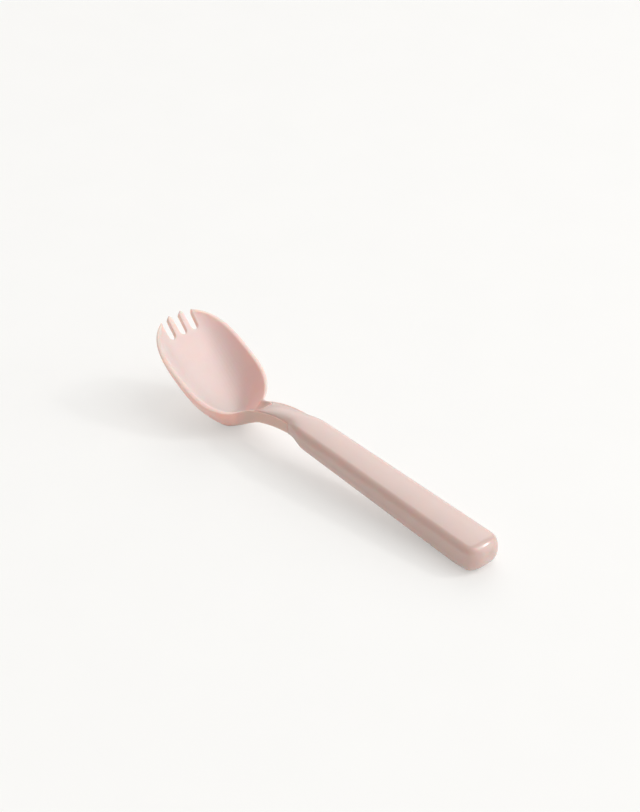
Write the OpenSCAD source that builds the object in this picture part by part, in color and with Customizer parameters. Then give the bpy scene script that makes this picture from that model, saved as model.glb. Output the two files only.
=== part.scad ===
// Toddler spork: a soft head with four short tines, moulded over a stiff core
// whose tang is locked inside a hollow handle by a cover under the handle.
// Millimetres, +X from the handle's rear end to the tine tips, +Z up,
// lying on the table at z = 0 with the origin under the middle of its length.

/* [Handle] */
// length of the straight taper, from the rear end to the shoulder
handle_length = 75.5; // [70:0.5:90]
// width at the rear end
rear_width = 13.8; // [13.4:0.1:16]
// width at the shoulder
front_width = 11.9; // [11.7:0.1:13]
// thickness at the rear end
rear_thickness = 9.4; // [9:0.1:10.4]
// height of the top above the table at the shoulder
shoulder_top = 16.1; // [16:0.1:16.8]
// height of the underside above the table at the shoulder
shoulder_lift = 8.1; // [7.8:0.05:8.4]
// rise of the top between its long edges
handle_crown = 0.7; // [0.3:0.1:1]
// radius of the long edges along the top
top_edge_radius = 2.2; // [1.8:0.1:2.6]
// radius of the long edges along the underside
under_edge_radius = 3.5; // [3.2:0.1:3.7]
// radius of the rear corners seen from above
corner_radius = 3.3; // [2.8:0.1:4]
// radius that rounds the rear end over at the top
end_top_radius = 2.6; // [2:0.1:3.2]
// radius that rounds the rear end under
end_under_radius = 4.2; // [3.4:0.1:4.6]
// where the flat rest under the rear end stops
land_end = 9; // [8:0.1:11]

/* [Neck] */
// length of the shoulder, where the handle narrows into the neck
shoulder_length = 8; // [7:0.5:11]
// length of the neck, from the shoulder to the top of the arc seam
neck_length = 13.5; // [12.5:0.5:15]
// width across the neck
neck_width = 8.5; // [8.3:0.1:9.4]
// height of the neck's side edges above the table at the shoulder
neck_edge_height = 15.1; // [15:0.1:15.6]
// height of the neck's underside above the table at the shoulder
neck_under_height = 9.9; // [9.6:0.1:10]
// fall of the side edges from the shoulder to the arc seam
neck_drop = 2.05; // [1.8:0.05:2.3]
// fall of the underside over the same length
under_drop = 1.9; // [1.7:0.05:2.3]
// rise of the neck's top between its side edges at the shoulder
neck_crown = 1.3; // [1:0.05:1.5]
// rise of the neck's top between its side edges at the arc seam
arc_crown = 0.6; // [0.4:0.05:0.9]
// rounding of the neck's side edges
neck_edge_radius = 0.4; // [0.3:0.05:0.6]
// rounding under the neck where the handle ends
neck_under_radius = 2.3; // [2:0.1:2.5]
// how far the ends of the arc seam reach ahead of its middle
arc_depth = 3.4; // [2.8:0.1:3.8]
// power of the arc seam's curve
arc_power = 4; // [3:0.5:6]
// thickness of the handle's tongue at its side edges
tongue_edge = 0.5; // [0.4:0.05:0.6]
// width of the soft lip beside the tongue, which runs on as the bowl's rim
neck_lip = 0.5; // [0.4:0.05:0.6]
// rounding of that lip
lip_round = 0.15; // [0.1:0.05:0.2]
// widening of the neck on each side where it runs into the bowl
neck_flare = 2; // [1.6:0.1:2.4]
// length of that widening
flare_length = 6.2; // [5.6:0.1:6.8]

/* [Bowl] */
// length from the arc seam to the tine tips
bowl_length = 46.5; // [45:0.5:50]
// width across the rim
bowl_width = 31.1; // [29.6:0.1:33]
// length of the rounded rim outline
outline_length = 37.4; // [36.6:0.2:39]
// power of the outline along its length
outline_power = 2.9; // [2.6:0.05:3.1]
// power of the outline across its width
outline_spread = 2.05; // [1.9:0.05:2.2]
// how far the inner tines stand out past the outline
tine_reach = 0.6; // [0.4:0.1:1]
// upward tilt of the rim
bowl_tilt = 29; // [28:0.25:30]
// how far the rim's long sides sag below a straight line
rim_sag = 0.5; // [0:0.1:0.8]
// height of the rim above the table at the tine tips
tip_height = 29.1; // [28.8:0.1:29.6]
// depth of the hollow, square to the rim
bowl_depth = 10.8; // [10.5:0.05:11.1]
// power of the floor's rise to the tine tips
floor_power = 1.2; // [1.1:0.05:1.4]
// power of the hollow's side walls at the heel
heel_wall_power = 2.8; // [2.6:0.1:3]
// power of the hollow's side walls at the tines
tine_wall_power = 5; // [4:0.2:6]
// power of the outside of the bowl at the heel
heel_hull_power = 2.9; // [2.8:0.1:3.2]
// power of the outside of the bowl at the tines
tine_hull_power = 8.4; // [7:0.2:9]
// power of the outside of the neck
stem_power = 8; // [7:0.2:9]
// wall thickness
bowl_wall = 1.8; // [1.6:0.1:2]
// depth of the rounding on the rim
rim_round = 0.5; // [0.3:0.05:0.6]
// how gently the rim turns from the neck into the bowl
rim_blend = 1; // [0.6:0.1:1.6]

/* [Tines] */
// number of slots between the tines
slot_count = 3; // [1:1:3]
// distance between slot centres
slot_pitch = 4.9; // [4.7:0.05:5.2]
// width at the round end of a slot
slot_width = 2.7; // [2.2:0.1:2.9]
// width at the open end of a slot
slot_mouth = 3; // [2.6:0.1:3.2]
// length of a slot along the rim
slot_length = 7.4; // [6:0.1:8.6]
// rounding of the tine tips
tine_round = 0.9; // [0.6:0.05:1]

/* [Core] */
// width of the core
core_width = 4.4; // [4:0.1:4.6]
// thickness of the core
core_thickness = 2.2; // [1.9:0.1:2.3]
// height of the tang's middle over the handle's underside
tang_height = 3.3; // [3.2:0.05:3.4]
// how far the tang runs on behind the rear post
tang_tail = 10; // [6:0.5:14]
// how far the core's front end reaches past the arc seam
core_reach = 4; // [3:0.1:4.4]
// height of the core's front end above the table
core_front_height = 8.6; // [8.4:0.05:8.8]
// bore that keys the soft head to the core
key_bore = 2; // [1.6:0.1:2.2]
// width of the soft tenon round the tang
tenon_width = 6.4; // [6.2:0.1:6.5]
// thickness of the soft tenon
tenon_thickness = 3.4; // [3.2:0.05:3.5]
// length of the tenon's root inside the neck
tenon_root = 2; // [1:0.1:2.4]
// length of the soft tenon inside the handle
tenon_length = 7; // [5:0.1:7.5]

/* [Inside the handle] */
// thickness of the roof over the hollow
roof_wall = 2; // [1.8:0.1:2.2]
// distance of the cover's edge from the handle's side
cover_inset = 2.8; // [2.7:0.05:3]
// width of the ledge that the cover sits on
cover_ledge = 0.8; // [0.6:0.05:0.9]
// thickness of the cover
cover_thickness = 1.6; // [1.4:0.05:1.7]
// where the cover's rear end lies
cover_rear = 14; // [13:0.5:18]
// distance from the cover's front end to the shoulder
cover_front_gap = 4; // [3.5:0.1:6]
// diameter of the cover's two posts
post_diameter = 2; // [1.6:0.1:2.1]
// how far a post reaches into its boss
post_reach = 1.2; // [1:0.1:1.4]
// outside diameter of the bosses under the roof
boss_diameter = 4.2; // [3.8:0.1:4.4]
// distance from the cover's rear end to its rear post
rear_post_gap = 20; // [16:0.5:24]
// distance from the cover's front end to its front post
front_post_gap = 11.5; // [9:0.5:14]

/* [Clearances] */
// bond line between the soft head and the stiff pieces
bond_gap = 0.05; // [0.03:0.01:0.08]
// gap round the cover
cover_gap = 0.1; // [0.05:0.01:0.15]
// gap round a post in the tang
post_gap = 0.1; // [0.05:0.01:0.15]
// gap round a post in its boss
press_gap = 0.02; // [0.01:0.01:0.05]

/* [Hidden] */

// facets on true round faces
$fn = 48;
// how far cuts run past the solid that they cut
overrun = 2;
// length of the small steps between one cross-section and the next
step = 0.2;
// points from edge to edge of a cross-section, and rings along each stretch
half_points = 17;
round_points = 7;
end_rings = 6;
shoulder_rings = 8;
tongue_rings = 7;
ramp_rings = 9;
bowl_rings = 14;
slot_points = 8;

// where the ramp from the neck meets the bowl's floor, along the bowl
bowl_start_share = 0.26;
// run of the floor's rise, along the bowl
floor_run_share = 0.87;
// pull of the ramp where it leaves the neck and where it meets the floor
ramp_pull_share = 0.12;
floor_pull_share = 0.075;
// share of the lip's width at the shoulder, and the share of the neck where it grows
lip_start_share = 0.3;
lip_run_share = 0.4;
// how far out the crest lies across the lip, and across the bowl's rim
lip_crest_share = 0.2;
rim_crest_share = 0.5;
// sharpness of the corner between neck and bowl
corner_power = 4;
// share of the room that a rounded corner may fill
edge_share = 0.98;
// share of a tine's half width that its tip rounding may take
tine_share = 0.9;
// height of the core between the neck's underside and the tongue
core_mid_share = 0.48;
// places across the flat of the handle's top and underside
flat_shares = [-0.5, 0, 0.5];
// directions of the ramp and of the underside where they leave the neck
ramp_fall = [0.72, -0.69];
under_fall = [0.95, -0.27];
// power of the crest where the ramp leaves the arc seam
crest_power = 3.5;

overall_length = handle_length + shoulder_length + neck_length + bowl_length;
neck_start = handle_length + shoulder_length;
arc_x = neck_start + neck_length;
neck_half = neck_width / 2;
end_run = max(corner_radius, end_top_radius, end_under_radius);
cover_front = handle_length - cover_front_gap;
rear_post = cover_rear + rear_post_gap;
front_post = cover_front - front_post_gap;
tang_rear = rear_post - tang_tail;
tang_top = tang_height + core_thickness / 2;
under_slope = atan(shoulder_lift / (handle_length - land_end));
outline_half = outline_length / 2;
tip_round = min(tine_round, tine_share * (slot_pitch - slot_mouth) / 2);
tip_flat = 1 - pow((slot_mouth / 2 + tip_round) / neck_half, tine_hull_power);
tip_x = overall_length - bowl_wall * sin(bowl_tilt) * tip_flat;
outline_x = overall_length - tine_reach - outline_half;
bowl_start = arc_x + bowl_length * bowl_start_share;
floor_run = bowl_length * floor_run_share;
hollow_down = [sin(bowl_tilt), -cos(bowl_tilt)];
hollow_along = [cos(bowl_tilt), sin(bowl_tilt)];

function lerp(a, b, t) = a + (b - a) * t;
function clamp(t) = max(0, min(1, t));
function smooth(t) = let (c = clamp(t)) c * c * (3 - 2 * c);
function smooth_max(a, b, k) = (a + b + sqrt((a - b) * (a - b) + k * k)) / 2;
function bezier(p, t) =
    p[0] * pow(1 - t, 3)
    + p[1] * 3 * pow(1 - t, 2) * t
    + p[2] * 3 * (1 - t) * t * t
    + p[3] * pow(t, 3);

// lines of the handle and the neck, by distance from the rear end
function handle_half(s) = lerp(rear_width, front_width, s / handle_length) / 2;
function handle_under(s) = shoulder_lift * max(0, s - land_end) / (handle_length - land_end);
function handle_top(s) = lerp(rear_thickness, shoulder_top, s / handle_length);
function neck_run(s) = max(0, (s - neck_start) / neck_length);
function neck_edge(s) = neck_edge_height - neck_drop * pow(neck_run(s), 2);
function neck_under(s) = neck_under_height - under_drop * pow(neck_run(s), 2);
function arc_bend(s) = arc_depth * smooth(neck_run(s));
function neck_rise(s) = lerp(neck_crown, arc_crown, clamp(neck_run(s)));
function lip(s) = neck_lip * lerp(lip_start_share, 1, smooth(neck_run(s) / lip_run_share));
function tongue_half(s) = neck_half - lip(s);

// lines of the rim
function outline_run(s) = clamp(abs(s - outline_x) / outline_half);
function rim_plane(s) =
    tip_height - (tip_x - s) * tan(bowl_tilt) - rim_sag * (1 - pow(outline_run(s), 2));
function rim_height(s) = smooth_max(neck_edge(s), rim_plane(s), rim_blend);
function outline(s) = bowl_width / 2 * pow(1 - pow(outline_run(s), outline_power), 1 / outline_spread);
function flare(s) = pow(smooth((s - arc_x - arc_depth) / flare_length), 2) * smooth((tip_x - s) / outline_half);
function root_half(s) = neck_half + neck_flare * flare(s);
function rim_half(s) = pow(pow(root_half(s), corner_power) + pow(outline(s), corner_power), 1 / corner_power);

// lines of the hollow's floor and of the underside, by place along the rim
function hollow(s) =
    let (run = clamp((tip_x - s) / cos(bowl_tilt) / floor_run))
    bowl_depth * (1 - pow(1 - run, floor_power));
function floor_point(s) = [s, rim_plane(s)] + hollow(s) * hollow_down;
function under_point(s) = floor_point(s) + bowl_wall * hollow_down;

// one closed skin over rings of points, each ring in pairs from its two ends
module skin(rings) {
    n = len(rings[0]);
    last = (len(rings) - 1) * n;
    points = [for (r = rings) each r];
    sides = [for (i = [0:len(rings) - 2], j = [0:n - 1])
        let (a = i * n + j, b = i * n + (j + 1) % n)
        each [[a, a + n, b], [b, a + n, b + n]]];
    rear = [for (j = [0:n / 2 - 2])
        each [[j, j + 1, n - 2 - j], [j, n - 2 - j, n - 1 - j]]];
    front = [for (f = rear) [f[0] + last, f[2] + last, f[1] + last]];
    polyhedron(points, concat(sides, rear, front));
}

// cross-section of the handle: rounded corners, flat underside, crowned top
function corner(y, z, r, from) =
    [for (i = [0:round_points - 1])
        let (a = from + 90 * i / (round_points - 1))
        [y + r * cos(a), z + r * sin(a)]];
function handle_ring(s, half, under, top, crown, top_r, under_r) =
    let (edge = top - crown)
    let (low = concat(
        corner(under_r - half, under + under_r, under_r, 180),
        [for (k = flat_shares) [k * (half - under_r), under]],
        corner(half - under_r, under + under_r, under_r, 270)))
    let (high = concat(
        corner(half - top_r, edge - top_r, top_r, 0),
        [for (k = flat_shares) [-k * (half - top_r), edge]],
        corner(top_r - half, edge - top_r, top_r, 90)))
    concat(
        [for (p = low) [s, p[0], p[1]]],
        [for (p = high) [s, p[0], p[1] + crown * (1 - pow(p[0] / half, 2))]]);

// rings of the handle, from the rounded rear end through the shoulder
function round_in(r, s) = s < r ? r - sqrt(r * r - (r - s) * (r - s)) : 0;
function body_ring(s) =
    let (half = handle_half(s) - round_in(corner_radius, s))
    let (under = handle_under(s) + round_in(end_under_radius, s))
    let (top = handle_top(s) - round_in(end_top_radius, s))
    let (room = min(half, (top - handle_crown - under) / 2) * edge_share)
    handle_ring(s, half, under, top, handle_crown,
        min(top_edge_radius, room), min(under_edge_radius, room));
function shoulder_ring(t) =
    let (s = handle_length + shoulder_length * t, k = smooth(t))
    handle_ring(s,
        lerp(handle_half(s), neck_half, k),
        lerp(handle_under(s), neck_under_height, k),
        lerp(handle_top(s), neck_edge_height + neck_crown, k),
        lerp(handle_crown, neck_crown, k),
        lerp(top_edge_radius, neck_edge_radius, k),
        lerp(under_edge_radius, neck_under_radius, k));

// rings of the tongue that covers the neck's top as far as the arc seam
function edge_spread() = [for (i = [0:half_points - 1]) sin(180 * i / (half_points - 1) - 90)];
function arc_line(s, v) = s + arc_bend(s) * pow(abs(v), arc_power);
function tongue_ring(s) =
    let (v = edge_spread(), half = tongue_half(s))
    concat(
        [for (k = v) let (x = arc_line(s, k))
            [x, half * k, rim_height(x) - tongue_edge]],
        [for (k = v) let (x = arc_line(s, k))
            [x, -half * k, rim_height(x) + neck_rise(s) * (1 - k * k)]]);

module handle_body() {
    skin(concat(
        [for (i = [0:end_rings]) body_ring(end_run * (1 - cos(90 * i / end_rings)))],
        [body_ring(land_end)],
        [for (i = [0:shoulder_rings]) shoulder_ring(i / shoulder_rings)],
        [for (i = [0:tongue_rings]) tongue_ring(lerp(neck_start + step, arc_x, i / tongue_rings))]));
}

// cross-section of the head: outside from edge to edge, then the inside back
function out_line(rim, under_at, half, power) =
    [for (k = edge_spread())
        let (p = under_at + (rim - under_at) * pow(abs(k), power))
        [p[0], half * k, max(0, p[1])]];
function in_line(rim, floor_at, half, along_power, wall) =
    [for (k = edge_spread())
        let (x = lerp(floor_at[0], rim[0], pow(abs(k), along_power)))
        let (z = lerp(floor_at[1], rim[1], pow(abs(k), wall)))
        [x, -half * k, max(bowl_wall, z)]];
function head_ring(rim, edge, floor_at, under_at, half, shape, along_power, wall, hull) =
    let (in_half = half - lerp(neck_lip, bowl_wall, shape))
    let (crest = lerp(in_half, half, lerp(lip_crest_share, rim_crest_share, shape)))
    let (out_rim = rim - [0, lerp(lip_round, edge, shape)])
    let (in_rim = rim - [0, edge * shape])
    concat(
        out_line(out_rim, under_at, half, hull),
        [[rim[0], crest, rim[1]]],
        in_line(in_rim, floor_at, in_half, along_power, wall),
        [[rim[0], -crest, rim[1]]]);

// rings under the tongue, then down the ramp, then along the bowl to the tips
function seat(x) = rim_height(x) - tongue_edge - bond_gap;
function stem_ring(s) =
    let (x = s + arc_bend(s), z = rim_height(x), half = tongue_half(s))
    let (crest = lerp(half, neck_half, lip_crest_share))
    concat(
        out_line([x, z - lip_round], [s, neck_under(s)], neck_half, stem_power),
        [[x, crest, z]],
        [for (k = edge_spread()) [arc_line(s, k), -half * k, seat(arc_line(s, k))]],
        [[x, -crest, z]]);
function ramp_ring(t) =
    let (x = lerp(arc_x + arc_depth + step, bowl_start, t), k = smooth(t))
    let (pull = bowl_length * ramp_pull_share, end_pull = bowl_length * floor_pull_share)
    let (top = [arc_x + step, rim_height(arc_x) + arc_crown])
    let (low = [arc_x + step, neck_under(arc_x)])
    let (floor_end = floor_point(bowl_start), under_end = under_point(bowl_start))
    let (inner = [top, top + pull * ramp_fall, floor_end - end_pull * hollow_along, floor_end])
    let (outer = [low, low + pull * under_fall, under_end - end_pull * hollow_along, under_end])
    head_ring([x, rim_height(x)], rim_round, bezier(inner, t), bezier(outer, t), rim_half(x), k,
        lerp(arc_power, heel_wall_power, k),
        lerp(crest_power, heel_wall_power, k),
        lerp(stem_power, heel_hull_power, k));
function bowl_ring(t) =
    let (k = sin(90 * t), x = lerp(bowl_start, tip_x, k), edge = min(rim_round, hollow(x)))
    let (wall = lerp(heel_wall_power, tine_wall_power, k))
    head_ring([x, rim_height(x)], edge, floor_point(x), under_point(x), rim_half(x), 1,
        wall, wall, lerp(heel_hull_power, tine_hull_power, k));

module head_body() {
    stem_start = neck_start + step + bond_gap;
    stem_end = arc_x + bond_gap;
    skin(concat(
        [for (i = [0:tongue_rings]) stem_ring(lerp(stem_start, stem_end, i / tongue_rings))],
        [for (i = [0:ramp_rings]) ramp_ring(i / ramp_rings)],
        [for (i = [1:bowl_rings]) bowl_ring(i / bowl_rings)]));
}

// one slot between two tines, seen square to the rim, open ahead of the tips
function slot_outline() =
    let (r = slot_width / 2, m = slot_mouth / 2)
    let (side = concat(
        [for (i = [0:slot_points]) let (a = 90 * i / slot_points)
            [r - slot_length - r * cos(a), r * sin(a)]],
        [for (i = [0:slot_points]) let (a = 90 * i / slot_points)
            [-tip_round * cos(a), m + tip_round * (1 - cos(a))]],
        [[overrun, m + tip_round]]))
    concat(side, [for (i = [len(side) - 1:-1:1]) [side[i][0], -side[i][1]]]);
module slots() {
    translate([tip_x, 0, tip_height])
        rotate([0, -bowl_tilt, 0])
            for (i = [0:slot_count - 1])
                translate([0, (i - (slot_count - 1) / 2) * slot_pitch, -bowl_depth - overrun])
                    linear_extrude(bowl_depth + 2 * overrun)
                        polygon(slot_outline());
}

// places in the handle are measured along its sloping underside
module on_underside() {
    translate([land_end, 0, 0])
        rotate([0, -under_slope, 0])
            children();
}
function along(s) = (s - land_end) / cos(under_slope);

// the core's side outline: straight tang, then bent down through the neck
function tang_line(s) = (s - land_end) * tan(under_slope) + tang_height / cos(under_slope);
function core_line() = [
    [tang_rear, tang_line(tang_rear)],
    [neck_start, tang_line(neck_start)],
    [arc_x - core_reach, lerp(neck_under(arc_x - core_reach), seat(arc_x - core_reach), core_mid_share)],
    [arc_x + core_reach, core_front_height]];
module core_bar(grow) {
    line = core_line();
    half = core_thickness / 2 + grow;
    last = len(line) - 1;
    ends = [for (i = [0:last]) i == 0 ? -grow : i == last ? grow : 0];
    translate([0, core_width / 2 + grow, 0])
        rotate([90, 0, 0])
            linear_extrude(core_width + 2 * grow)
                polygon(concat(
                    [for (i = [0:last]) [line[i][0] + ends[i], line[i][1] - half]],
                    [for (i = [last:-1:0]) [line[i][0] + ends[i], line[i][1] + half]]));
}
module key_hole(d) {
    translate([arc_x, 0, 0])
        cylinder(d = d, h = tip_height);
}
module at_posts(d, from, length) {
    on_underside()
        for (s = [rear_post, front_post])
            translate([along(s), 0, from])
                cylinder(d = d, h = length);
}
module core_room() {
    difference() {
        core_bar(bond_gap);
        key_hole(key_bore - 2 * bond_gap);
    }
}
module tenon(grow) {
    on_underside()
        translate([along(neck_start - tenon_length) - grow, -tenon_width / 2 - grow,
            tang_height - tenon_thickness / 2 - grow])
            cube([tenon_length + tenon_root + 2 * grow, tenon_width + 2 * grow, tenon_thickness + 2 * grow]);
}

// room for the cover, its ledge and the hollow above it
function cover_outline(inset, rear, front) = [
    [along(rear), inset - handle_half(rear)],
    [along(front), inset - handle_half(front)],
    [along(front), handle_half(front) - inset],
    [along(rear), handle_half(rear) - inset]];
module cover_plate(inset, ends, from, to) {
    on_underside()
        translate([0, 0, from])
            linear_extrude(to - from)
                polygon(cover_outline(inset, cover_rear + ends, cover_front - ends));
}
module below_roof(wall) {
    sink = wall + handle_crown;
    translate([0, rear_width / 2, 0])
        rotate([90, 0, 0])
            linear_extrude(rear_width)
                polygon([
                    [0, -overrun],
                    [neck_start, -overrun],
                    [neck_start, handle_top(neck_start) - sink],
                    [0, handle_top(0) - sink]]);
}
module hollow_room() {
    intersection() {
        cover_plate(cover_inset + cover_ledge, cover_ledge, -overrun, shoulder_top);
        below_roof(roof_wall);
    }
}
module bosses() {
    intersection() {
        at_posts(boss_diameter, tang_top + bond_gap, rear_thickness);
        below_roof(roof_wall / 2);
    }
}

// the origin lies under the middle of the whole length
module placed() {
    translate([-overall_length / 2, 0, 0])
        children();
}

// soft moulded head: bowl, four tines, neck sides and the tenon in the handle
module bowl_head() {
    color([0.93, 0.8, 0.77])
        placed()
            difference() {
                union() {
                    head_body();
                    tenon(0);
                }
                slots();
                core_room();
            }
}

// stiff core: keyed into the bowl's root, through the neck, back into the handle
module core_tang() {
    color([0.9, 0.88, 0.84])
        placed()
            difference() {
                core_bar(0);
                key_hole(key_bore);
                at_posts(post_diameter + 2 * post_gap, 0, rear_thickness);
            }
}

// handle shell: crowned top, sides, rounded end, neck tongue and two bosses
module handle_shell() {
    color([0.9, 0.83, 0.8])
        placed()
            difference() {
                union() {
                    difference() {
                        handle_body();
                        hollow_room();
                        cover_plate(cover_inset, 0, -overrun, cover_thickness);
                        tenon(bond_gap);
                        core_bar(bond_gap);
                    }
                    bosses();
                }
                at_posts(post_diameter + 2 * press_gap, 0, tang_top + post_reach + bond_gap);
            }
}

// cover under the handle: plate on the ledge and two posts through the tang
module handle_cover() {
    color([0.87, 0.8, 0.77])
        placed() {
            cover_plate(cover_inset + cover_gap, cover_gap, cover_gap, cover_thickness - cover_gap);
            at_posts(post_diameter, cover_gap, tang_top + post_reach - cover_gap);
        }
}

bowl_head();
core_tang();
handle_shell();
handle_cover();
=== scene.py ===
from math import atan, cos, pi, radians, sin, sqrt, tan

import bmesh
import bpy
from mathutils import Matrix, Vector


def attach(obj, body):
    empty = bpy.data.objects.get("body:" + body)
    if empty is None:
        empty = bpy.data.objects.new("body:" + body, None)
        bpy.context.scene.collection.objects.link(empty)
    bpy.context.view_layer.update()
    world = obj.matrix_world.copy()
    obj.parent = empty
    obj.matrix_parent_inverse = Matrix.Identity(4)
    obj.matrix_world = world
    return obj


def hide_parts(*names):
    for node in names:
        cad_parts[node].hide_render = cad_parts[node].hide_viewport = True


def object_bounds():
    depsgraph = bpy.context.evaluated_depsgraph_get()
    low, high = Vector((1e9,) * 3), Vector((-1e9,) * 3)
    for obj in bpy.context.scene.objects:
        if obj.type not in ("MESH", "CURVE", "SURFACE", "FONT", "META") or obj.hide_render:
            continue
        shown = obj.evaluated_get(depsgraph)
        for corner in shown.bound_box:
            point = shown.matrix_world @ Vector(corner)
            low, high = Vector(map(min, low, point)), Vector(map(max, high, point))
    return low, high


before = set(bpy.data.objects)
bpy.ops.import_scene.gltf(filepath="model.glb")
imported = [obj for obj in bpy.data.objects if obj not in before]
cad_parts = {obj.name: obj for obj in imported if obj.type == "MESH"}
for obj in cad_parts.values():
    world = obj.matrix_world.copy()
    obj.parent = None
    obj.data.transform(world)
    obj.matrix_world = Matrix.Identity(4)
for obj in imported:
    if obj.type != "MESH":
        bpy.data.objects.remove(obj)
cad_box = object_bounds()


# Stiff core: a bent flat bar of off-white nylon from the bowl's root back into the
# handle. It is injection moulded first, with a bore that keys the head to it and two
# holes for the cover's posts. Nothing of it shows on the finished spork.
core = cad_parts["core_tang"]
core_colour = (0.78, 0.75, 0.69, 1)
core_deep_colour = (0.71, 0.67, 0.60, 1)

# finish of a moulded face: soft clouds in the colour, and the mould's fine matt grain
moulded = bpy.data.node_groups.new("moulded_finish", "ShaderNodeTree")
for title, kind in (("Colour", "NodeSocketColor"), ("Deep colour", "NodeSocketColor"),
                    ("Cloud scale", "NodeSocketFloat"), ("Grain scale", "NodeSocketFloat"),
                    ("Smoothest", "NodeSocketFloat"), ("Roughest", "NodeSocketFloat")):
    moulded.interface.new_socket(title, in_out="INPUT", socket_type=kind)
for title, kind in (("Colour", "NodeSocketColor"), ("Roughness", "NodeSocketFloat"),
                    ("Height", "NodeSocketFloat")):
    moulded.interface.new_socket(title, in_out="OUTPUT", socket_type=kind)
given = moulded.nodes.new("NodeGroupInput")
result = moulded.nodes.new("NodeGroupOutput")
place_on_piece = moulded.nodes.new("ShaderNodeTexCoord")
clouds = moulded.nodes.new("ShaderNodeTexNoise")
clouds.inputs["Detail"].default_value = 3
grain = moulded.nodes.new("ShaderNodeTexNoise")
grain.inputs["Detail"].default_value = 2
cloud_share = moulded.nodes.new("ShaderNodeMapRange")
cloud_share.inputs["From Min"].default_value = 0.35
cloud_share.inputs["From Max"].default_value = 0.65
grain_share = moulded.nodes.new("ShaderNodeMapRange")
grain_share.inputs["From Min"].default_value = 0.3
grain_share.inputs["From Max"].default_value = 0.7
tint = moulded.nodes.new("ShaderNodeMix")
tint.data_type = "RGBA"
for socket_from, socket_to in (
        (place_on_piece.outputs["Object"], clouds.inputs["Vector"]),
        (place_on_piece.outputs["Object"], grain.inputs["Vector"]),
        (given.outputs["Cloud scale"], clouds.inputs["Scale"]),
        (given.outputs["Grain scale"], grain.inputs["Scale"]),
        (clouds.outputs["Fac"], cloud_share.inputs["Value"]),
        (grain.outputs["Fac"], grain_share.inputs["Value"]),
        (given.outputs["Smoothest"], grain_share.inputs["To Min"]),
        (given.outputs["Roughest"], grain_share.inputs["To Max"]),
        (cloud_share.outputs["Result"], tint.inputs["Factor"]),
        (given.outputs["Colour"], tint.inputs["A"]),
        (given.outputs["Deep colour"], tint.inputs["B"]),
        (tint.outputs["Result"], result.inputs["Colour"]),
        (grain_share.outputs["Result"], result.inputs["Roughness"]),
        (grain.outputs["Fac"], result.inputs["Height"])):
    moulded.links.new(socket_from, socket_to)


def moulded_material(name, colour, deep_colour, cloud_scale, grain_scale,
                     smoothest, roughest, grain_depth):
    """A material whose colour, roughness and bump come from the moulded finish."""
    material = bpy.data.materials.new(name)
    material.use_nodes = True
    nodes = material.node_tree.nodes
    shader = nodes["Principled BSDF"]
    finish = nodes.new("ShaderNodeGroup")
    finish.node_tree = moulded
    finish.inputs["Colour"].default_value = colour
    finish.inputs["Deep colour"].default_value = deep_colour
    finish.inputs["Cloud scale"].default_value = cloud_scale
    finish.inputs["Grain scale"].default_value = grain_scale
    finish.inputs["Smoothest"].default_value = smoothest
    finish.inputs["Roughest"].default_value = roughest
    bump = nodes.new("ShaderNodeBump")
    bump.inputs["Distance"].default_value = grain_depth
    links = material.node_tree.links
    links.new(finish.outputs["Colour"], shader.inputs["Base Color"])
    links.new(finish.outputs["Roughness"], shader.inputs["Roughness"])
    links.new(finish.outputs["Height"], bump.inputs["Height"])
    links.new(bump.outputs["Normal"], shader.inputs["Normal"])
    return material, shader


core_nylon = moulded_material("core_nylon", core_colour, core_deep_colour,
                              cloud_scale=160, grain_scale=5200,
                              smoothest=0.45, roughest=0.6, grain_depth=0.00003)[0]
core.data.materials.clear()
core.data.materials.append(core_nylon)


# Soft head: bowl, four short tines and the neck's sides and underside, in one piece of
# satin pink silicone. It is moulded over the core, and a tenon at its rear end plugs
# into the handle. Light comes through its thin edges.
head_colour = (0.715, 0.63, 0.60, 1)
head_deep_colour = (0.70, 0.61, 0.58, 1)
# painted shade: a deeper, warmer colour for the neck and the bowl's downward-facing outside
painted_shade_colour = (0.74, 0.53, 0.46, 1)
head_glow_radius = (1, 0.36, 0.26)
bowl_glow_reach = 0.004
neck_glow_reach = 0.0003
core_reach = 0.004
glow_run = 0.008
# how much of the painted shade the bowl's outside takes, by the way its faces point
hull_paleness_in_painted_shade = 0.4
fullest_shade_facing = -0.25
unshaded_facing = 0.1
rear_end = cad_box[0].x
overall_length = cad_box[1].x - cad_box[0].x
neck_start = 0.0835
neck_length = 0.0135
arc_x = neck_start + neck_length
neck_width = 0.0085
neck_half = neck_width / 2
neck_edge_height = 0.0151
neck_drop = 0.00205
neck_under_height = 0.0099
under_drop = 0.0019
neck_crown = 0.0013
arc_crown = 0.0006
arc_depth = 0.0034
arc_power = 4
tongue_edge = 0.0005
neck_lip = 0.0005
lip_round = 0.00015
lip_start_share = 0.3
lip_run_share = 0.4
neck_flare = 0.002
flare_length = 0.0062
bond_gap = 0.00005
bowl_length = overall_length - arc_x
bowl_width = 0.0311
outline_length = 0.0374
outline_half = outline_length / 2
outline_power = 2.9
outline_spread = 2.05
tine_reach = 0.0006
bowl_tilt = radians(29)
rim_sag = 0.0005
tip_height = 0.0291
bowl_depth = 0.0108
bowl_wall = 0.0018
floor_power = 1.2
heel_wall_power = 2.8
tine_wall_power = 5
heel_hull_power = 2.9
tine_hull_power = 8.4
stem_power = 8
crest_power = 3.5
corner_power = 4
rim_round = 0.0005
rim_blend = 0.001
slot_count = 3
slot_pitch = 0.0049
slot_width = 0.0027
slot_mouth = 0.003
slot_length = 0.0074
tip_round = 0.00085
ring_step = 0.0002
bowl_start_share = 0.26
floor_run_share = 0.87
ramp_pull_share = 0.12
floor_pull_share = 0.075
ramp_fall = Vector((0.72, -0.69))
under_fall = Vector((0.95, -0.27))
head_half_points = 33
rim_steps = 6
stem_steps = 16
ramp_steps = 24
bowl_steps = 44
slot_steps = 10
weld_distance = 1e-7
tip_flat = 1 - ((slot_mouth / 2 + tip_round) / neck_half) ** tine_hull_power
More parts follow.
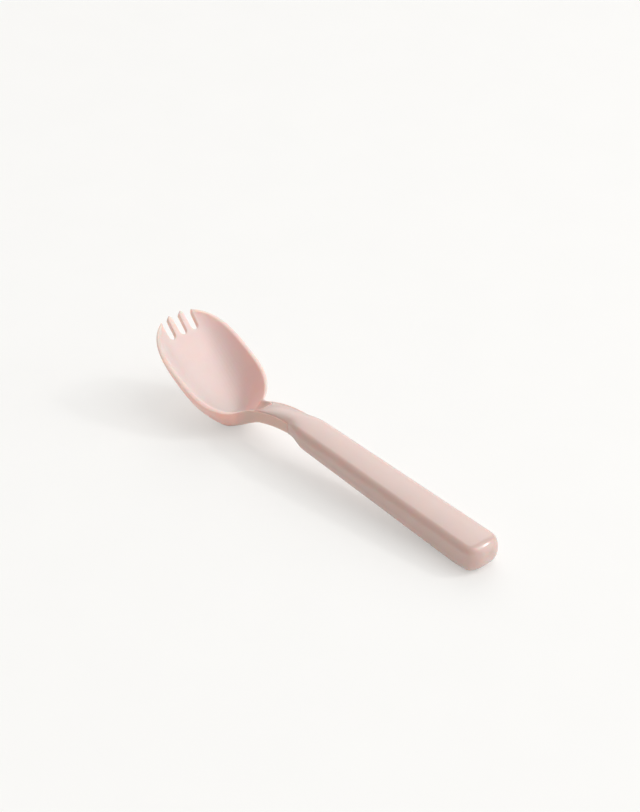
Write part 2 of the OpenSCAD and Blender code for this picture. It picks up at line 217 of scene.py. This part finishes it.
tip_x = overall_length - bowl_wall * sin(bowl_tilt) * tip_flat
outline_x = overall_length - tine_reach - outline_half
bowl_start = arc_x + bowl_start_share * bowl_length
floor_run = floor_run_share * bowl_length
hollow_down = Vector((sin(bowl_tilt), -cos(bowl_tilt)))
hollow_along = Vector((cos(bowl_tilt), sin(bowl_tilt)))


def lerp(a, b, t):
    return a + (b - a) * t


def clamp(t):
    return max(0.0, min(1.0, t))


def smooth(t):
    return clamp(t) ** 2 * (3 - 2 * clamp(t))


def spot(s, y, z):
    """A point by its distance from the rear end, its place across and its height."""
    return Vector((rear_end + s, y, z))


def neck_run(s):
    return max(0.0, (s - neck_start) / neck_length)


def neck_under(s):
    return neck_under_height - under_drop * neck_run(s) ** 2


def tongue_half(s):
    """Half width of the handle's tongue: a soft lip of the neck stands beside it."""
    return neck_half - neck_lip * lerp(lip_start_share, 1, smooth(neck_run(s) / lip_run_share))


def arc_line(s, across):
    """Where the arc seam, or a line like it through s, lies at a share of the half width."""
    return s + arc_depth * smooth(neck_run(s)) * abs(across) ** arc_power


def outline_run(s):
    return clamp(abs(s - outline_x) / outline_half)


def rim_plane(s):
    return tip_height - (tip_x - s) * tan(bowl_tilt) - rim_sag * (1 - outline_run(s) ** 2)


def rim_height(s):
    edge = neck_edge_height - neck_drop * neck_run(s) ** 2
    plane = rim_plane(s)
    return (edge + plane + sqrt((edge - plane) ** 2 + rim_blend ** 2)) / 2


def rim_half(s):
    """Half width of the bowl's outline, which grows out of the flared end of the neck."""
    flare = smooth((s - arc_x - arc_depth) / flare_length) ** 2 * smooth((tip_x - s) / outline_half)
    outline = bowl_width / 2 * (1 - outline_run(s) ** outline_power) ** (1 / outline_spread)
    root = neck_half + neck_flare * flare
    return (root ** corner_power + outline ** corner_power) ** (1 / corner_power)


def hollow(s):
    run = clamp((tip_x - s) / cos(bowl_tilt) / floor_run)
    return bowl_depth * (1 - (1 - run) ** floor_power)


def floor_point(s):
    return Vector((s, rim_plane(s))) + hollow(s) * hollow_down


def curve_point(a, b, c, d, t):
    return a * (1 - t) ** 3 + b * 3 * (1 - t) ** 2 * t + c * 3 * (1 - t) * t ** 2 + d * t ** 3


def spread(count):
    """Shares from -1 to 1, closer together at both ends."""
    return [sin(pi * (i / (count - 1) - 0.5)) for i in range(count)]


def under_line(rim, low, half, power):
    points = []
    for k in spread(head_half_points):
        p = low.lerp(rim, abs(k) ** power)
        points.append(spot(p.x, half * k, max(0.0, p.y)))
    return points


def rim_line(rim, edge, half, in_half, shape):
    """Over the rim from the outside to the inside: a small flat lip on the neck, and
    rounded on the bowl."""
    points = []
    for i in range(1, rim_steps):
        a = pi * i / rim_steps
        outer = min(a, pi / 2)
        flat_y = half - lip_round * (1 - cos(outer))
        flat_y -= (half - lip_round - in_half) * (a - outer) / (pi / 2)
        round_y = lerp(in_half, half, (1 + cos(a)) / 2)
        flat_z = lip_round * (sin(outer) - 1)
        round_z = edge * (sin(a) - 1)
        points.append(spot(rim.x, lerp(flat_y, round_y, shape),
                           rim.y + lerp(flat_z, round_z, shape)))
    return points


def mirrored(points):
    return [Vector((p.x, -p.y, p.z)) for p in reversed(points)]


def head_ring(rim, edge, low_in, low_out, half, shape, along_power, inside_power, outside_power):
    in_half = half - lerp(neck_lip, bowl_wall, shape)
    out_rim = Vector((rim.x, rim.y - lerp(lip_round, edge, shape)))
    over = rim_line(rim, edge, half, in_half, shape)
    inside = []
    for k in spread(head_half_points):
        x = lerp(low_in.x, rim.x, abs(k) ** along_power)
        z = lerp(low_in.y, rim.y - edge * shape, abs(k) ** inside_power)
        inside.append(spot(x, -in_half * k, max(bowl_wall, z)))
    return under_line(out_rim, low_out, half, outside_power) + over + inside + mirrored(over)


def stem_ring(s):
    rim = Vector((arc_line(s, 1), rim_height(arc_line(s, 1))))
    out_rim = Vector((rim.x, rim.y - lip_round))
    half = tongue_half(s)
    over = rim_line(rim, rim_round, neck_half, half, 0)
    seat = []
    for k in spread(head_half_points):
        x = arc_line(s, k)
        seat.append(spot(x, -half * k, rim_height(x) - tongue_edge - bond_gap))
    under = under_line(out_rim, Vector((s, neck_under(s))), neck_half, stem_power)
    return under + over + seat + mirrored(over)


def ramp_ring(t):
    x = lerp(arc_x + arc_depth + ring_step, bowl_start, t)
    k = smooth(t)
    pull = ramp_pull_share * bowl_length
    end_pull = floor_pull_share * bowl_length
    top = Vector((arc_x + ring_step, rim_height(arc_x) + arc_crown))
    low = Vector((arc_x + ring_step, neck_under(arc_x)))
    floor_end = floor_point(bowl_start)
    under_end = floor_end + bowl_wall * hollow_down
    low_in = curve_point(top, top + pull * ramp_fall,
                         floor_end - end_pull * hollow_along, floor_end, t)
    low_out = curve_point(low, low + pull * under_fall,
                          under_end - end_pull * hollow_along, under_end, t)
    return head_ring(Vector((x, rim_height(x))), rim_round, low_in, low_out, rim_half(x), k,
                     lerp(arc_power, heel_wall_power, k), lerp(crest_power, heel_wall_power, k),
                     lerp(stem_power, heel_hull_power, k))


def bowl_ring(t):
    k = sin(pi / 2 * t)
    x = lerp(bowl_start, tip_x, k)
    low_in = floor_point(x)
    wall = lerp(heel_wall_power, tine_wall_power, k)
    return head_ring(Vector((x, rim_height(x))), min(rim_round, hollow(x)), low_in,
                     low_in + bowl_wall * hollow_down, rim_half(x), 1,
                     wall, wall, lerp(heel_hull_power, tine_hull_power, k))


def loft(name, rings, pinched=False):
    """Starts a disc on the first ring and extrudes it to each next ring. A pinched end is
    closed along the middle line of the last ring."""
    count = len(rings[0])
    if pinched:
        last = rings[-1]
        rings = rings + [[(last[j] + last[count - 1 - j]) / 2 for j in range(count)]]
    bpy.ops.object.select_all(action="DESELECT")
    bpy.ops.mesh.primitive_circle_add(vertices=count, fill_type="NGON")
    piece = bpy.context.object
    piece.name = name
    piece.data.name = name
    bpy.ops.object.transform_apply()
    bpy.ops.object.mode_set(mode="EDIT")
    skin = bmesh.from_edit_mesh(piece.data)
    place = skin.verts.layers.int.new("place")
    for i, corner in enumerate(skin.verts):
        corner[place] = i
    bpy.ops.mesh.select_all(action="SELECT")
    for i, ring in enumerate(rings):
        if i > 0:
            bpy.ops.mesh.extrude_region()
        skin = bmesh.from_edit_mesh(piece.data)
        place = skin.verts.layers.int["place"]
        for corner in skin.verts:
            if corner.select:
                corner.co = ring[corner[place]]
        bmesh.update_edit_mesh(piece.data)
    if pinched:
        bpy.ops.mesh.delete(type="ONLY_FACE")
        bpy.ops.mesh.select_all(action="SELECT")
        bpy.ops.mesh.remove_doubles(threshold=weld_distance)
    bpy.ops.mesh.select_all(action="SELECT")
    bpy.ops.mesh.normals_make_consistent(inside=False)
    bpy.ops.object.mode_set(mode="OBJECT")
    return piece


def pick(piece):
    bpy.ops.object.select_all(action="DESELECT")
    piece.select_set(True)
    bpy.context.view_layer.objects.active = piece


def apply_modifier(piece, kind, **settings):
    pick(piece)
    modifier = piece.modifiers.new(kind.lower(), kind)
    for key, value in settings.items():
        setattr(modifier, key, value)
    bpy.ops.object.modifier_apply(modifier=modifier.name)


def cut(piece, tool, operation="DIFFERENCE"):
    """Cuts a tool out of a piece, or joins it on, and throws the tool away."""
    apply_modifier(piece, "BOOLEAN", object=tool, operation=operation, solver="EXACT")
    bpy.data.objects.remove(tool)


stem_from = neck_start + ring_step + bond_gap
stem_to = arc_x + bond_gap
stem_rings = [stem_ring(lerp(stem_from, stem_to, i / stem_steps)) for i in range(stem_steps + 1)]
ramp_rings = [ramp_ring(i / ramp_steps) for i in range(ramp_steps + 1)]
bowl_rings = [bowl_ring((i + 1) / bowl_steps) for i in range(bowl_steps)]
head = loft("bowl_head_skin", stem_rings + ramp_rings + bowl_rings, pinched=True)

# tenon at the rear end of the neck, along the slope of the handle's underside
land_end = 0.009
handle_length = 0.0755
shoulder_lift = 0.0081
under_slope = atan(shoulder_lift / (handle_length - land_end))
tang_height = 0.0033
tenon_length = 0.007
tenon_root = 0.002
tenon_width = 0.0064
tenon_thickness = 0.0034


def on_underside(along, y, up):
    """A point by its place along the handle's sloping underside and its height over it."""
    return spot(land_end + along * cos(under_slope) - up * sin(under_slope), y,
                along * sin(under_slope) + up * cos(under_slope))


def along(s):
    return (s - land_end) / cos(under_slope)


def tenon_block(name, grow):
    rear = neck_start - tenon_length - grow
    front = neck_start + tenon_root + grow
    half = tenon_width / 2 + grow
    corners = ((rear, -half), (front, -half), (front, half), (rear, half))
    levels = (tang_height - tenon_thickness / 2 - grow, tang_height + tenon_thickness / 2 + grow)
    return loft(name, [[on_underside(along(s), y, up) for s, y in corners] for up in levels])


cut(head, tenon_block("tenon", 0), "UNION")

# slots between the tines, square to the rim, with the tips rounded at their mouths
slot_turns = [pi / 2 * i / slot_steps for i in range(slot_steps + 1)]
slot_side = [(slot_width / 2 * (1 - cos(a)) - slot_length, slot_width / 2 * sin(a))
             for a in slot_turns]
slot_side += [(-tip_round * cos(a), slot_mouth / 2 + tip_round * (1 - cos(a)))
              for a in slot_turns]
slot_side.append((bowl_wall, slot_mouth / 2 + tip_round))
slot_outline = slot_side + [(run, -y) for run, y in reversed(slot_side[1:])]
for i in range(slot_count):
    middle = (i - (slot_count - 1) / 2) * slot_pitch
    rings = []
    for sink in (bowl_depth, -bowl_wall):
        rings.append([spot(tip_x + run * hollow_along.x + sink * hollow_down.x, middle + y,
                           tip_height + run * hollow_along.y + sink * hollow_down.y)
                      for run, y in slot_outline])
    cut(head, loft("slot", rings))


def core_pocket(name):
    """The room that the core fills, a bond line larger than the core."""
    core_weld_distance = 1e-6
    pocket = core.copy()
    pocket.data = core.data.copy()
    pocket.name = name
    bpy.context.collection.objects.link(pocket)
    pick(pocket)
    bpy.ops.object.mode_set(mode="EDIT")
    bpy.ops.mesh.select_all(action="SELECT")
    bpy.ops.mesh.remove_doubles(threshold=core_weld_distance)
    bpy.ops.transform.shrink_fatten(value=bond_gap, use_even_offset=True)
    bpy.ops.object.mode_set(mode="OBJECT")
    return pocket


cut(head, core_pocket("head_pocket"))

# the soft material rounds the bowl's edges, and the seam at the handle stays crisp
head_voxel = 0.00019
head_face_share = 0.5
soft_lead = 0.0022
soft_from = arc_x + arc_depth + soft_lead
soft_run = 0.005
apply_modifier(head, "REMESH", mode="VOXEL", voxel_size=head_voxel, use_smooth_shade=True)
apply_modifier(head, "SMOOTH", factor=0.5, iterations=2)
soft_edges = head.vertex_groups.new(name="soft_edges")
for corner in head.data.vertices:
    softness = smooth((corner.co.x - rear_end - soft_from) / soft_run)
    soft_edges.add([corner.index], softness, "REPLACE")
apply_modifier(head, "SMOOTH", factor=0.5, iterations=5, vertex_group=soft_edges.name)
head.vertex_groups.clear()
apply_modifier(head, "DECIMATE", ratio=head_face_share)
head_silicone, head_shader = moulded_material(
    "pink_silicone", head_colour, head_deep_colour, cloud_scale=110, grain_scale=4200,
    smoothest=0.36, roughest=0.46, grain_depth=0.00001)


def share_along(material, start, end):
    """How far a place on the piece lies between two distances from the rear end."""
    nodes = material.node_tree.nodes
    links = material.node_tree.links
    place = nodes.new("ShaderNodeTexCoord")
    axes = nodes.new("ShaderNodeSeparateXYZ")
    share = nodes.new("ShaderNodeMapRange")
    share.interpolation_type = "SMOOTHSTEP"
    share.inputs["From Min"].default_value = rear_end + start
    share.inputs["From Max"].default_value = rear_end + end
    links.new(place.outputs["Object"], axes.inputs["Vector"])
    links.new(axes.outputs["X"], share.inputs["Value"])
    return share


def glow_along(material, shader, radius, start, start_reach, end, end_reach):
    """Light travels inside the piece, by a reach that changes between two places along it."""
    share = share_along(material, start, end)
    reach = material.node_tree.nodes.new("ShaderNodeMix")
    reach.inputs["A"].default_value = start_reach
    reach.inputs["B"].default_value = end_reach
    links = material.node_tree.links
    links.new(share.outputs["Result"], reach.inputs["Factor"])
    links.new(reach.outputs["Result"], shader.inputs["Subsurface Scale"])
    shader.inputs["Subsurface Weight"].default_value = 1
    shader.inputs["Subsurface Radius"].default_value = radius


# light travels far in the bowl in front of the core; the neck and the downward-facing outside of
# the bowl get a deeper colour, painted shade with a warm painted glow of light coming through the
# silicone
glow_from = arc_x + core_reach
glow_along(head_silicone, head_shader, head_glow_radius,
           glow_from, neck_glow_reach, glow_from + glow_run, bowl_glow_reach)
bowl_share = share_along(head_silicone, arc_x, glow_from + glow_run)
head_nodes = head_silicone.node_tree.nodes
head_links = head_silicone.node_tree.links
head_face = head_nodes.new("ShaderNodeNewGeometry")
face_axes = head_nodes.new("ShaderNodeSeparateXYZ")
unshaded_by_facing = head_nodes.new("ShaderNodeMapRange")
unshaded_by_facing.inputs["From Min"].default_value = fullest_shade_facing
unshaded_by_facing.inputs["From Max"].default_value = unshaded_facing
unshaded_by_facing.inputs["To Min"].default_value = hull_paleness_in_painted_shade
unshaded_share = head_nodes.new("ShaderNodeMath")
unshaded_share.operation = "MULTIPLY"
painted_shade_tint = head_nodes.new("ShaderNodeMix")
painted_shade_tint.data_type = "RGBA"
painted_shade_tint.inputs["A"].default_value = painted_shade_colour
head_links.new(head_face.outputs["Normal"], face_axes.inputs["Vector"])
head_links.new(face_axes.outputs["Z"], unshaded_by_facing.inputs["Value"])
head_links.new(bowl_share.outputs["Result"], unshaded_share.inputs[0])
head_links.new(unshaded_by_facing.outputs["Result"], unshaded_share.inputs[1])
head_links.new(unshaded_share.outputs["Value"], painted_shade_tint.inputs["Factor"])
head_links.new(head_shader.inputs["Base Color"].links[0].from_socket, painted_shade_tint.inputs["B"])
head_links.new(painted_shade_tint.outputs["Result"], head_shader.inputs["Base Color"])
head.data.materials.append(head_silicone)
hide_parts("bowl_head")
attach(head, "root")


# Handle shell: a hollow bar of satin-gloss pink plastic with a crowned top, which runs
# on over the neck as a thin tongue and ends in the arc seam. It is injection moulded,
# open below with two bosses under its roof, and slides over the tang and the tenon.
handle_colour = (0.655, 0.50, 0.455, 1)
handle_deep_colour = (0.64, 0.485, 0.44, 1)
handle_glow_radius = (1, 0.32, 0.22)
handle_glow_reach = 0.003
tongue_glow_reach = 0.0005
handle_shine = 0.9
crease_angle = radians(35)
rear_width = 0.0138
front_width = 0.0119
rear_thickness = 0.0094
shoulder_top = 0.0161
shoulder_length = neck_start - handle_length
handle_crown = 0.0007
top_edge_radius = 0.0022
under_edge_radius = 0.0035
corner_radius = 0.005
end_top_radius = 0.0035
end_under_radius = 0.0046
end_bulge = 0.0005
edge_share = 0.98
neck_edge_radius = 0.0004
neck_under_radius = 0.0023
roof_wall = 0.002
cover_inset = 0.0028
cover_ledge = 0.0008
cover_thickness = 0.0016
cover_rear = 0.014
cover_to_shoulder = 0.004
cover_front = handle_length - cover_to_shoulder
core_thickness = 0.0022
tang_top = tang_height + core_thickness / 2
rear_post_inset = 0.02
front_post_inset = 0.0115
post_places = (cover_rear + rear_post_inset, cover_front - front_post_inset)
post_radius = 0.001
post_reach = 0.0012
press_gap = 0.00002
boss_radius = 0.0021
corner_points = 13
flat_points = 23
end_steps = 14
grip_steps = 14
shoulder_steps = 24
tongue_steps = 20
rod_sides = 48
land_steps = (-5, -2, 0, 2, 5)


def handle_half(s):
    return lerp(rear_width, front_width, s / handle_length) / 2


def handle_under(s):
    return shoulder_lift * max(0.0, s - land_end) / (handle_length - land_end)


def handle_top(s):
    return lerp(rear_thickness, shoulder_top, s / handle_length)


def corner_arc(y, z, r, start):
    turns = [start + pi / 2 * i / (corner_points - 1) for i in range(corner_points)]
    return [(y + r * cos(a), z + r * sin(a)) for a in turns]


def cross_section(half, under, edge, top_r, under_r):
    """The underside from side to side and the top back again, with rounded corners."""
    flat = spread(flat_points + 2)[1:-1]
    low = corner_arc(under_r - half, under + under_r, under_r, pi)
    low += [(k * (half - under_r), under) for k in flat]
    low += corner_arc(half - under_r, under + under_r, under_r, 3 * pi / 2)
    high = corner_arc(half - top_r, edge - top_r, top_r, 0)
    high += [(-k * (half - top_r), edge) for k in flat]
    high += corner_arc(top_r - half, edge - top_r, top_r, pi / 2)
    return low, high


def handle_ring(s, half, under, top, crown, top_r, under_r):
    low, high = cross_section(half, under, top - crown, top_r, under_r)
    crowned = [(y, z + crown * (1 - (y / half) ** 2)) for y, z in high]
    return [spot(s, y, z) for y, z in low + crowned]


def round_in(r, s):
    return r - sqrt(r * r - (r - s) ** 2) if s < r else 0.0


def body_ring(s):
    half = handle_half(s) - round_in(corner_radius, s + end_bulge)
    under = handle_under(s) + round_in(end_under_radius, s + end_bulge)
    top = handle_top(s) - round_in(end_top_radius, s + end_bulge)
    room = edge_share * min(half, (top - handle_crown - under) / 2)
    return handle_ring(s, half, under, top, handle_crown,
                       min(top_edge_radius, room), min(under_edge_radius, room))


def shoulder_ring(t):
    s = handle_length + shoulder_length * t
    k = smooth(t)
    return handle_ring(s, lerp(handle_half(s), neck_half, k),
                       lerp(handle_under(s), neck_under_height, k),
                       lerp(handle_top(s), neck_edge_height + neck_crown, k),
                       lerp(handle_crown, neck_crown, k),
                       lerp(top_edge_radius, neck_edge_radius, k),
                       lerp(under_edge_radius, neck_under_radius, k))


def tongue_ring(s):
    """The tongue over the neck, between the soft neck's two lips."""
    half = tongue_half(s)
    rise = lerp(neck_crown, arc_crown, clamp(neck_run(s)))
    low, high = cross_section(half, -tongue_edge, 0,
                              neck_edge_radius, tongue_edge - neck_edge_radius)
    points = []
    for y, z, crown in [(y, z, 0) for y, z in low] + [(y, z, rise) for y, z in high]:
        x = arc_line(s, y / half)
        points.append(spot(x, y, rim_height(x) + z + crown * (1 - (y / half) ** 2)))
    return points


end_run = max(corner_radius, end_top_radius, end_under_radius)
end_rings = [body_ring(end_run * (1 - cos(pi / 2 * i / end_steps)) - end_bulge)
             for i in range(end_steps + 1)]
land_rings = [body_ring(land_end + ring_step * i) for i in land_steps]
grip_rings = [body_ring(lerp(land_end, handle_length, i / grip_steps))
              for i in range(1, grip_steps)]
shoulder_rings = [shoulder_ring(i / shoulder_steps) for i in range(shoulder_steps + 1)]
tongue_rings = [tongue_ring(lerp(neck_start + ring_step, arc_x, i / tongue_steps))
                for i in range(tongue_steps + 1)]
shell_rings = end_rings + land_rings + grip_rings + shoulder_rings + tongue_rings
shell = loft("handle_shell_skin", shell_rings, pinched=True)


def tapered_block(name, inset, ends, low, high_at):
    """A block between the handle's sides, from under the handle up to a height at each end."""
    rear = cover_rear + ends
    front = cover_front - ends
    corners = ((rear, -1), (front, -1), (front, 1), (rear, 1))
    rings = []
    for up in (lambda s: low, high_at):
        rings.append([on_underside(along(s), side * (handle_half(s) - inset), up(s))
                      for s, side in corners])
    return loft(name, rings)


def roof_over_underside(s):
    return (handle_top(s) - roof_wall - handle_crown - handle_under(s)) * cos(under_slope)


def upright_rod(name, place, radius, low, high):
    """A round rod that stands square on the handle's underside."""
    bpy.ops.object.select_all(action="DESELECT")
    bpy.ops.mesh.primitive_cylinder_add(vertices=rod_sides, radius=radius, depth=high - low)
    rod = bpy.context.object
    rod.name = name
    rod.matrix_world = (Matrix.Translation(on_underside(along(place), 0, (low + high) / 2))
                        @ Matrix.Rotation(-under_slope, 4, "Y"))
    bpy.ops.object.transform_apply()
    return rod


cut(shell, tapered_block("hollow", cover_inset + cover_ledge, cover_ledge, -bowl_wall,
                         roof_over_underside))
cut(shell, tapered_block("cover_seat", cover_inset, 0, -bowl_wall, lambda s: cover_thickness))
cut(shell, tenon_block("tenon_room", bond_gap))
cut(shell, core_pocket("tang_room"))
for place in post_places:
    roof = roof_over_underside(place) + roof_wall / 2
    cut(shell, upright_rod("boss", place, boss_radius, tang_top + bond_gap, roof), "UNION")
    cut(shell, upright_rod("socket", place, post_radius + press_gap, 0,
                           tang_top + post_reach + bond_gap))
pick(shell)
bpy.ops.object.shade_smooth_by_angle(angle=crease_angle)
shell_plastic, shell_shader = moulded_material(
    "pink_handle_plastic", handle_colour, handle_deep_colour, cloud_scale=70, grain_scale=3600,
    smoothest=0.2, roughest=0.26, grain_depth=0.000002)
glow_along(shell_plastic, shell_shader, handle_glow_radius,
           handle_length, handle_glow_reach, neck_start, tongue_glow_reach)
shell_shader.inputs["Specular IOR Level"].default_value = handle_shine
shell.data.materials.append(shell_plastic)
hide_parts("handle_shell")
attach(shell, "root")


# Handle cover: a thin tapered plate of the same plastic that closes the handle from
# below. It sits on a ledge, and its two posts pass through the tang into the bosses.
cover_deep_colour = (0.62, 0.465, 0.42, 1)
cover_gap = 0.0001
cover_edge_round = 0.00025
cover = tapered_block("handle_cover_plate", cover_inset + cover_gap, cover_gap, cover_gap,
                      lambda s: cover_thickness - cover_gap)
apply_modifier(cover, "BEVEL", width=cover_edge_round, segments=3, limit_method="ANGLE")
for place in post_places:
    post = upright_rod("post", place, post_radius, cover_gap + cover_edge_round,
                       tang_top + post_reach)
    apply_modifier(post, "BEVEL", width=cover_edge_round, segments=2, limit_method="ANGLE")
    cut(cover, post, "UNION")
pick(cover)
bpy.ops.object.shade_smooth_by_angle(angle=crease_angle)
cover_plastic = moulded_material(
    "pink_cover_plastic", handle_deep_colour, cover_deep_colour, cloud_scale=90, grain_scale=3600,
    smoothest=0.34, roughest=0.42, grain_depth=0.00001)[0]
cover.data.materials.append(cover_plastic)
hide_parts("handle_cover")
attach(cover, "root")


# Table: a wide sheet of pale paper under the spork. The camera and clear reflections see
# part of it as plain white, so its shadows stay light.
table_size = 8
table_colour = (0.945, 0.94, 0.925, 1)
table_fibre_colour = (0.955, 0.95, 0.935, 1)
table_white = (0.955, 0.96, 0.945, 1)
table_white_share = 0.4
table_shine = 0.05
bpy.ops.object.select_all(action="DESELECT")
bpy.ops.mesh.primitive_plane_add(size=table_size)
table = bpy.context.object
table.name = "paper_table"
table_paper, table_shader = moulded_material(
    "pale_paper", table_colour, table_fibre_colour, cloud_scale=40, grain_scale=900,
    smoothest=0.9, roughest=1, grain_depth=0.00001)
table_shader.inputs["Specular IOR Level"].default_value = table_shine
paper_nodes = table_paper.node_tree.nodes
paper_links = table_paper.node_tree.links
seen_by = paper_nodes.new("ShaderNodeLightPath")
seen_or_mirrored = paper_nodes.new("ShaderNodeMath")
seen_or_mirrored.operation = "MAXIMUM"
seen_at_all = paper_nodes.new("ShaderNodeMath")
seen_at_all.operation = "MAXIMUM"
white_share = paper_nodes.new("ShaderNodeMath")
white_share.operation = "MULTIPLY"
white_share.inputs[1].default_value = table_white_share
white = paper_nodes.new("ShaderNodeEmission")
white.inputs["Color"].default_value = table_white
paper_or_white = paper_nodes.new("ShaderNodeMixShader")
for socket_from, socket_to in (
        (seen_by.outputs["Is Camera Ray"], seen_or_mirrored.inputs[0]),
        (seen_by.outputs["Is Glossy Ray"], seen_or_mirrored.inputs[1]),
        (seen_or_mirrored.outputs["Value"], seen_at_all.inputs[0]),
        (seen_by.outputs["Is Transmission Ray"], seen_at_all.inputs[1]),
        (seen_at_all.outputs["Value"], white_share.inputs[0]),
        (white_share.outputs["Value"], paper_or_white.inputs["Fac"]),
        (table_shader.outputs["BSDF"], paper_or_white.inputs[1]),
        (white.outputs["Emission"], paper_or_white.inputs[2]),
        (paper_or_white.outputs["Shader"], paper_nodes["Material Output"].inputs["Surface"])):
    paper_links.new(socket_from, socket_to)
table.data.materials.append(table_paper)


# Studio light: a bright wall on the right of the view and above, a dimmer and slightly
# warmer wall on the left, a window behind the spork, a low one on the right, and two
# lamps high on the right.
bright_wall = (0.6, 0.6, 0.6, 1)
dim_wall = (0.42, 0.36, 0.315, 1)
window_light = (2.0, 2.0, 2.0, 1)
low_window_light = (1.75, 1.75, 1.75, 1)
bright_side = Vector((-0.5, -0.75, 0.45)).normalized()
dim_from = -0.65
bright_from = 0.35
window_side = Vector((0.59, -0.576, 0.566))
low_window_side = Vector((-0.75, -0.6, 0.28)).normalized()
window_edge = 0.84
window_middle = 0.97
world = bpy.data.worlds.new("studio_walls")
bpy.context.scene.world = world
world.use_nodes = True
walls = world.node_tree.nodes
wall_links = world.node_tree.links
look = walls.new("ShaderNodeTexCoord")


def wall_tone(side, share_from, share_to, far_tone, near_tone):
    """Blends from one tone to another as the look turns towards a side of the studio."""
    facing = walls.new("ShaderNodeVectorMath")
    facing.operation = "DOT_PRODUCT"
    facing.inputs[1].default_value = side
    share = walls.new("ShaderNodeMapRange")
    share.interpolation_type = "SMOOTHSTEP"
    share.inputs["From Min"].default_value = share_from
    share.inputs["From Max"].default_value = share_to
    tone = walls.new("ShaderNodeMix")
    tone.data_type = "RGBA"
    tone.inputs["A"].default_value = far_tone
    tone.inputs["B"].default_value = near_tone
    wall_links.new(look.outputs["Generated"], facing.inputs[0])
    wall_links.new(facing.outputs["Value"], share.inputs["Value"])
    wall_links.new(share.outputs["Result"], tone.inputs["Factor"])
    return tone


plain_wall = wall_tone(bright_side, dim_from, bright_from, dim_wall, bright_wall)
window_wall = wall_tone(window_side, window_edge, window_middle, bright_wall, window_light)
low_window_wall = wall_tone(low_window_side, window_edge, window_middle,
                            bright_wall, low_window_light)
wall_links.new(plain_wall.outputs["Result"], window_wall.inputs["A"])
wall_links.new(window_wall.outputs["Result"], low_window_wall.inputs["A"])

# the camera sees a plain white backdrop past the table's edge
wall_seen_by = walls.new("ShaderNodeLightPath")
backdrop = walls.new("ShaderNodeMix")
backdrop.data_type = "RGBA"
backdrop.inputs["B"].default_value = table_white
wall_links.new(wall_seen_by.outputs["Is Camera Ray"], backdrop.inputs["Factor"])
wall_links.new(low_window_wall.outputs["Result"], backdrop.inputs["A"])
wall_links.new(backdrop.outputs["Result"], walls["Background"].inputs["Color"])

broad_from = Vector((-0.38, -0.30, 0.875))
broad_lamp = bpy.data.lights.new("broad_lamp", "SUN")
broad_lamp.energy = 0.6
broad_lamp.angle = radians(45)
broad_stand = bpy.data.objects.new("broad_lamp", broad_lamp)
broad_stand.rotation_euler = broad_from.to_track_quat("Z", "Y").to_euler()
bpy.context.collection.objects.link(broad_stand)

small_from = Vector((-0.50, -0.58, 0.64)).normalized()
small_distance = 1.2
small_lamp = bpy.data.lights.new("small_lamp", "AREA")
small_lamp.shape = "DISK"
small_lamp.size = 0.17
small_lamp.energy = 2
small_stand = bpy.data.objects.new("small_lamp", small_lamp)
small_stand.location = small_from * small_distance
small_stand.rotation_euler = small_from.to_track_quat("Z", "Y").to_euler()
bpy.context.collection.objects.link(small_stand)


# Camera: a long lens from behind the handle's end, looking down on the spork.
camera_place = Vector((-0.4441, 0.4317, 0.4328))
camera_aim = Vector((0.6, -0.5817, -0.5496))
camera = bpy.data.cameras.new("camera")
camera.sensor_width = 36
camera.lens = 104.1
camera.clip_end = 20
camera_stand = bpy.data.objects.new("camera", camera)
camera_stand.location = camera_place
camera_stand.rotation_euler = camera_aim.to_track_quat("-Z", "Y").to_euler()
bpy.context.collection.objects.link(camera_stand)
bpy.context.scene.camera = camera_stand
bpy.context.scene.view_settings.view_transform = "Standard"
